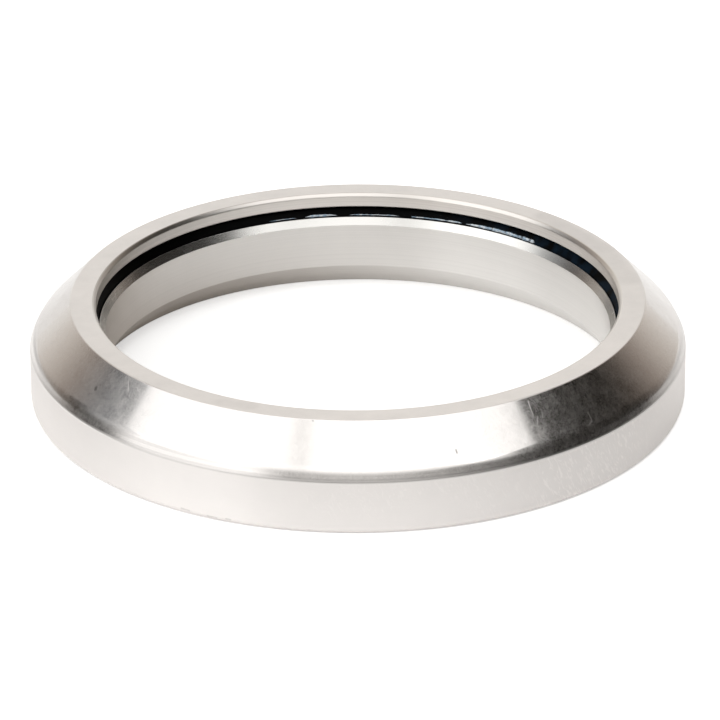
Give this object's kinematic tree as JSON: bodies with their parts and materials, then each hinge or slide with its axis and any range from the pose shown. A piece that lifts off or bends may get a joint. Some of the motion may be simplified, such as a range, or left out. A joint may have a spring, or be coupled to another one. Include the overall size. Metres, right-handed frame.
{
  "type": "headset bearing",
  "caption": "Sealed angular-contact cartridge bearing with a conical outer seat, a chamfered bore, black rubber seals and a row of caged balls.",
  "frame": {"origin": "on the bearing's axis, at the base that it stands on", "axes": "+Z along the bearing's axis, from the base towards the lip over the upper seal, so the outer cone faces up; +X points at the first ball"},
  "size_m": [0.052, 0.052, 0.008],
  "materials": {
    "outer_steel": "turned and ground bearing steel, satin, with a brighter ground cone",
    "inner_steel": "fine-turned bearing steel, satin",
    "seal_rubber": "black moulded rubber with a film of grease",
    "cage_polymer": "moulded polymer",
    "ball_steel": "lapped bearing balls"
  },
  "bodies": {
    "outer_body": {"outer_ring": "outer_steel", "upper_seal": "seal_rubber", "lower_seal": "seal_rubber"},
    "inner_body": {"inner_ring": "inner_steel"},
    "cage_body": {"ball_cage": "cage_polymer"},
    "ball_01_body": {"ball_01": "ball_steel"},
    "ball_02_body": {"ball_02": "ball_steel"},
    "ball_03_body": {"ball_03": "ball_steel"},
    "ball_04_body": {"ball_04": "ball_steel"},
    "ball_05_body": {"ball_05": "ball_steel"},
    "ball_06_body": {"ball_06": "ball_steel"},
    "ball_07_body": {"ball_07": "ball_steel"},
    "ball_08_body": {"ball_08": "ball_steel"},
    "ball_09_body": {"ball_09": "ball_steel"},
    "ball_10_body": {"ball_10": "ball_steel"},
    "ball_11_body": {"ball_11": "ball_steel"},
    "ball_12_body": {"ball_12": "ball_steel"},
    "ball_13_body": {"ball_13": "ball_steel"},
    "ball_14_body": {"ball_14": "ball_steel"},
    "ball_15_body": {"ball_15": "ball_steel"},
    "ball_16_body": {"ball_16": "ball_steel"},
    "ball_17_body": {"ball_17": "ball_steel"},
    "ball_18_body": {"ball_18": "ball_steel"},
    "ball_19_body": {"ball_19": "ball_steel"},
    "ball_20_body": {"ball_20": "ball_steel"},
    "ball_21_body": {"ball_21": "ball_steel"},
    "ball_22_body": {"ball_22": "ball_steel"},
    "ball_23_body": {"ball_23": "ball_steel"},
    "ball_24_body": {"ball_24": "ball_steel"},
    "ball_25_body": {"ball_25": "ball_steel"},
    "ball_26_body": {"ball_26": "ball_steel"},
    "ball_27_body": {"ball_27": "ball_steel"},
    "ball_28_body": {"ball_28": "ball_steel"},
    "ball_29_body": {"ball_29": "ball_steel"},
    "ball_30_body": {"ball_30": "ball_steel"},
    "ball_31_body": {"ball_31": "ball_steel"},
    "ball_32_body": {"ball_32": "ball_steel"},
    "ball_33_body": {"ball_33": "ball_steel"},
    "ball_34_body": {"ball_34": "ball_steel"},
    "ball_35_body": {"ball_35": "ball_steel"},
    "ball_36_body": {"ball_36": "ball_steel"}
  },
  "joints": [
    {"name": "inner_spin", "type": "hinge", "parent": "outer_body", "child": "inner_body", "pos_m": [0, 0, 0.00365], "axis": [0, 0, 1], "continuous": true},
    {"name": "cage_spin", "type": "hinge", "parent": "outer_body", "child": "cage_body", "pos_m": [0, 0, 0.004], "axis": [0, 0, 1], "continuous": true},
    {"name": "ball_01_roll", "type": "hinge", "parent": "cage_body", "child": "ball_01_body", "pos_m": [0.023, 0, 0.004], "axis": [-0.7071, 0, 0.7071], "continuous": true},
    {"name": "ball_02_roll", "type": "hinge", "parent": "cage_body", "child": "ball_02_body", "pos_m": [0.02265, 0.00399, 0.004], "axis": [-0.6964, -0.1228, 0.7071], "continuous": true},
    {"name": "ball_03_roll", "type": "hinge", "parent": "cage_body", "child": "ball_03_body", "pos_m": [0.02161, 0.00787, 0.004], "axis": [-0.6645, -0.2418, 0.7071], "continuous": true},
    {"name": "ball_04_roll", "type": "hinge", "parent": "cage_body", "child": "ball_04_body", "pos_m": [0.01992, 0.0115, 0.004], "axis": [-0.6124, -0.3536, 0.7071], "continuous": true},
    {"name": "ball_05_roll", "type": "hinge", "parent": "cage_body", "child": "ball_05_body", "pos_m": [0.01762, 0.01478, 0.004], "axis": [-0.5417, -0.4545, 0.7071], "continuous": true},
    {"name": "ball_06_roll", "type": "hinge", "parent": "cage_body", "child": "ball_06_body", "pos_m": [0.01478, 0.01762, 0.004], "axis": [-0.4545, -0.5417, 0.7071], "continuous": true},
    {"name": "ball_07_roll", "type": "hinge", "parent": "cage_body", "child": "ball_07_body", "pos_m": [0.0115, 0.01992, 0.004], "axis": [-0.3536, -0.6124, 0.7071], "continuous": true},
    {"name": "ball_08_roll", "type": "hinge", "parent": "cage_body", "child": "ball_08_body", "pos_m": [0.00787, 0.02161, 0.004], "axis": [-0.2418, -0.6645, 0.7071], "continuous": true},
    {"name": "ball_09_roll", "type": "hinge", "parent": "cage_body", "child": "ball_09_body", "pos_m": [0.00399, 0.02265, 0.004], "axis": [-0.1228, -0.6964, 0.7071], "continuous": true},
    {"name": "ball_10_roll", "type": "hinge", "parent": "cage_body", "child": "ball_10_body", "pos_m": [0, 0.023, 0.004], "axis": [0, -0.7071, 0.7071], "continuous": true},
    {"name": "ball_11_roll", "type": "hinge", "parent": "cage_body", "child": "ball_11_body", "pos_m": [-0.00399, 0.02265, 0.004], "axis": [0.1228, -0.6964, 0.7071], "continuous": true},
    {"name": "ball_12_roll", "type": "hinge", "parent": "cage_body", "child": "ball_12_body", "pos_m": [-0.00787, 0.02161, 0.004], "axis": [0.2418, -0.6645, 0.7071], "continuous": true},
    {"name": "ball_13_roll", "type": "hinge", "parent": "cage_body", "child": "ball_13_body", "pos_m": [-0.0115, 0.01992, 0.004], "axis": [0.3536, -0.6124, 0.7071], "continuous": true},
    {"name": "ball_14_roll", "type": "hinge", "parent": "cage_body", "child": "ball_14_body", "pos_m": [-0.01478, 0.01762, 0.004], "axis": [0.4545, -0.5417, 0.7071], "continuous": true},
    {"name": "ball_15_roll", "type": "hinge", "parent": "cage_body", "child": "ball_15_body", "pos_m": [-0.01762, 0.01478, 0.004], "axis": [0.5417, -0.4545, 0.7071], "continuous": true},
    {"name": "ball_16_roll", "type": "hinge", "parent": "cage_body", "child": "ball_16_body", "pos_m": [-0.01992, 0.0115, 0.004], "axis": [0.6124, -0.3536, 0.7071], "continuous": true},
    {"name": "ball_17_roll", "type": "hinge", "parent": "cage_body", "child": "ball_17_body", "pos_m": [-0.02161, 0.00787, 0.004], "axis": [0.6645, -0.2418, 0.7071], "continuous": true},
    {"name": "ball_18_roll", "type": "hinge", "parent": "cage_body", "child": "ball_18_body", "pos_m": [-0.02265, 0.00399, 0.004], "axis": [0.6964, -0.1228, 0.7071], "continuous": true},
    {"name": "ball_19_roll", "type": "hinge", "parent": "cage_body", "child": "ball_19_body", "pos_m": [-0.023, 0, 0.004], "axis": [0.7071, 0, 0.7071], "continuous": true},
    {"name": "ball_20_roll", "type": "hinge", "parent": "cage_body", "child": "ball_20_body", "pos_m": [-0.02265, -0.00399, 0.004], "axis": [0.6964, 0.1228, 0.7071], "continuous": true},
    {"name": "ball_21_roll", "type": "hinge", "parent": "cage_body", "child": "ball_21_body", "pos_m": [-0.02161, -0.00787, 0.004], "axis": [0.6645, 0.2418, 0.7071], "continuous": true},
    {"name": "ball_22_roll", "type": "hinge", "parent": "cage_body", "child": "ball_22_body", "pos_m": [-0.01992, -0.0115, 0.004], "axis": [0.6124, 0.3536, 0.7071], "continuous": true},
    {"name": "ball_23_roll", "type": "hinge", "parent": "cage_body", "child": "ball_23_body", "pos_m": [-0.01762, -0.01478, 0.004], "axis": [0.5417, 0.4545, 0.7071], "continuous": true},
    {"name": "ball_24_roll", "type": "hinge", "parent": "cage_body", "child": "ball_24_body", "pos_m": [-0.01478, -0.01762, 0.004], "axis": [0.4545, 0.5417, 0.7071], "continuous": true},
    {"name": "ball_25_roll", "type": "hinge", "parent": "cage_body", "child": "ball_25_body", "pos_m": [-0.0115, -0.01992, 0.004], "axis": [0.3536, 0.6124, 0.7071], "continuous": true},
    {"name": "ball_26_roll", "type": "hinge", "parent": "cage_body", "child": "ball_26_body", "pos_m": [-0.00787, -0.02161, 0.004], "axis": [0.2418, 0.6645, 0.7071], "continuous": true},
    {"name": "ball_27_roll", "type": "hinge", "parent": "cage_body", "child": "ball_27_body", "pos_m": [-0.00399, -0.02265, 0.004], "axis": [0.1228, 0.6964, 0.7071], "continuous": true},
    {"name": "ball_28_roll", "type": "hinge", "parent": "cage_body", "child": "ball_28_body", "pos_m": [0, -0.023, 0.004], "axis": [0, 0.7071, 0.7071], "continuous": true},
    {"name": "ball_29_roll", "type": "hinge", "parent": "cage_body", "child": "ball_29_body", "pos_m": [0.00399, -0.02265, 0.004], "axis": [-0.1228, 0.6964, 0.7071], "continuous": true},
    {"name": "ball_30_roll", "type": "hinge", "parent": "cage_body", "child": "ball_30_body", "pos_m": [0.00787, -0.02161, 0.004], "axis": [-0.2418, 0.6645, 0.7071], "continuous": true},
    {"name": "ball_31_roll", "type": "hinge", "parent": "cage_body", "child": "ball_31_body", "pos_m": [0.0115, -0.01992, 0.004], "axis": [-0.3536, 0.6124, 0.7071], "continuous": true},
    {"name": "ball_32_roll", "type": "hinge", "parent": "cage_body", "child": "ball_32_body", "pos_m": [0.01478, -0.01762, 0.004], "axis": [-0.4545, 0.5417, 0.7071], "continuous": true},
    {"name": "ball_33_roll", "type": "hinge", "parent": "cage_body", "child": "ball_33_body", "pos_m": [0.01762, -0.01478, 0.004], "axis": [-0.5417, 0.4545, 0.7071], "continuous": true},
    {"name": "ball_34_roll", "type": "hinge", "parent": "cage_body", "child": "ball_34_body", "pos_m": [0.01992, -0.0115, 0.004], "axis": [-0.6124, 0.3536, 0.7071], "continuous": true},
    {"name": "ball_35_roll", "type": "hinge", "parent": "cage_body", "child": "ball_35_body", "pos_m": [0.02161, -0.00787, 0.004], "axis": [-0.6645, 0.2418, 0.7071], "continuous": true},
    {"name": "ball_36_roll", "type": "hinge", "parent": "cage_body", "child": "ball_36_body", "pos_m": [0.02265, -0.00399, 0.004], "axis": [-0.6964, 0.1228, 0.7071], "continuous": true}
  ],
  "couplings": [
    {"joint": "cage_spin", "follows": "inner_spin", "ratio": 0.4756},
    {"joint": "ball_01_roll", "follows": "inner_spin", "ratio": -7.2268},
    {"joint": "ball_02_roll", "follows": "inner_spin", "ratio": -7.2268},
    {"joint": "ball_03_roll", "follows": "inner_spin", "ratio": -7.2268},
    {"joint": "ball_04_roll", "follows": "inner_spin", "ratio": -7.2268},
    {"joint": "ball_05_roll", "follows": "inner_spin", "ratio": -7.2268},
    {"joint": "ball_06_roll", "follows": "inner_spin", "ratio": -7.2268},
    {"joint": "ball_07_roll", "follows": "inner_spin", "ratio": -7.2268},
    {"joint": "ball_08_roll", "follows": "inner_spin", "ratio": -7.2268},
    {"joint": "ball_09_roll", "follows": "inner_spin", "ratio": -7.2268},
    {"joint": "ball_10_roll", "follows": "inner_spin", "ratio": -7.2268},
    {"joint": "ball_11_roll", "follows": "inner_spin", "ratio": -7.2268},
    {"joint": "ball_12_roll", "follows": "inner_spin", "ratio": -7.2268},
    {"joint": "ball_13_roll", "follows": "inner_spin", "ratio": -7.2268},
    {"joint": "ball_14_roll", "follows": "inner_spin", "ratio": -7.2268},
    {"joint": "ball_15_roll", "follows": "inner_spin", "ratio": -7.2268},
    {"joint": "ball_16_roll", "follows": "inner_spin", "ratio": -7.2268},
    {"joint": "ball_17_roll", "follows": "inner_spin", "ratio": -7.2268},
    {"joint": "ball_18_roll", "follows": "inner_spin", "ratio": -7.2268},
    {"joint": "ball_19_roll", "follows": "inner_spin", "ratio": -7.2268},
    {"joint": "ball_20_roll", "follows": "inner_spin", "ratio": -7.2268},
    {"joint": "ball_21_roll", "follows": "inner_spin", "ratio": -7.2268},
    {"joint": "ball_22_roll", "follows": "inner_spin", "ratio": -7.2268},
    {"joint": "ball_23_roll", "follows": "inner_spin", "ratio": -7.2268},
    {"joint": "ball_24_roll", "follows": "inner_spin", "ratio": -7.2268},
    {"joint": "ball_25_roll", "follows": "inner_spin", "ratio": -7.2268},
    {"joint": "ball_26_roll", "follows": "inner_spin", "ratio": -7.2268},
    {"joint": "ball_27_roll", "follows": "inner_spin", "ratio": -7.2268},
    {"joint": "ball_28_roll", "follows": "inner_spin", "ratio": -7.2268},
    {"joint": "ball_29_roll", "follows": "inner_spin", "ratio": -7.2268},
    {"joint": "ball_30_roll", "follows": "inner_spin", "ratio": -7.2268},
    {"joint": "ball_31_roll", "follows": "inner_spin", "ratio": -7.2268},
    {"joint": "ball_32_roll", "follows": "inner_spin", "ratio": -7.2268},
    {"joint": "ball_33_roll", "follows": "inner_spin", "ratio": -7.2268},
    {"joint": "ball_34_roll", "follows": "inner_spin", "ratio": -7.2268},
    {"joint": "ball_35_roll", "follows": "inner_spin", "ratio": -7.2268},
    {"joint": "ball_36_roll", "follows": "inner_spin", "ratio": -7.2268}
  ]
}
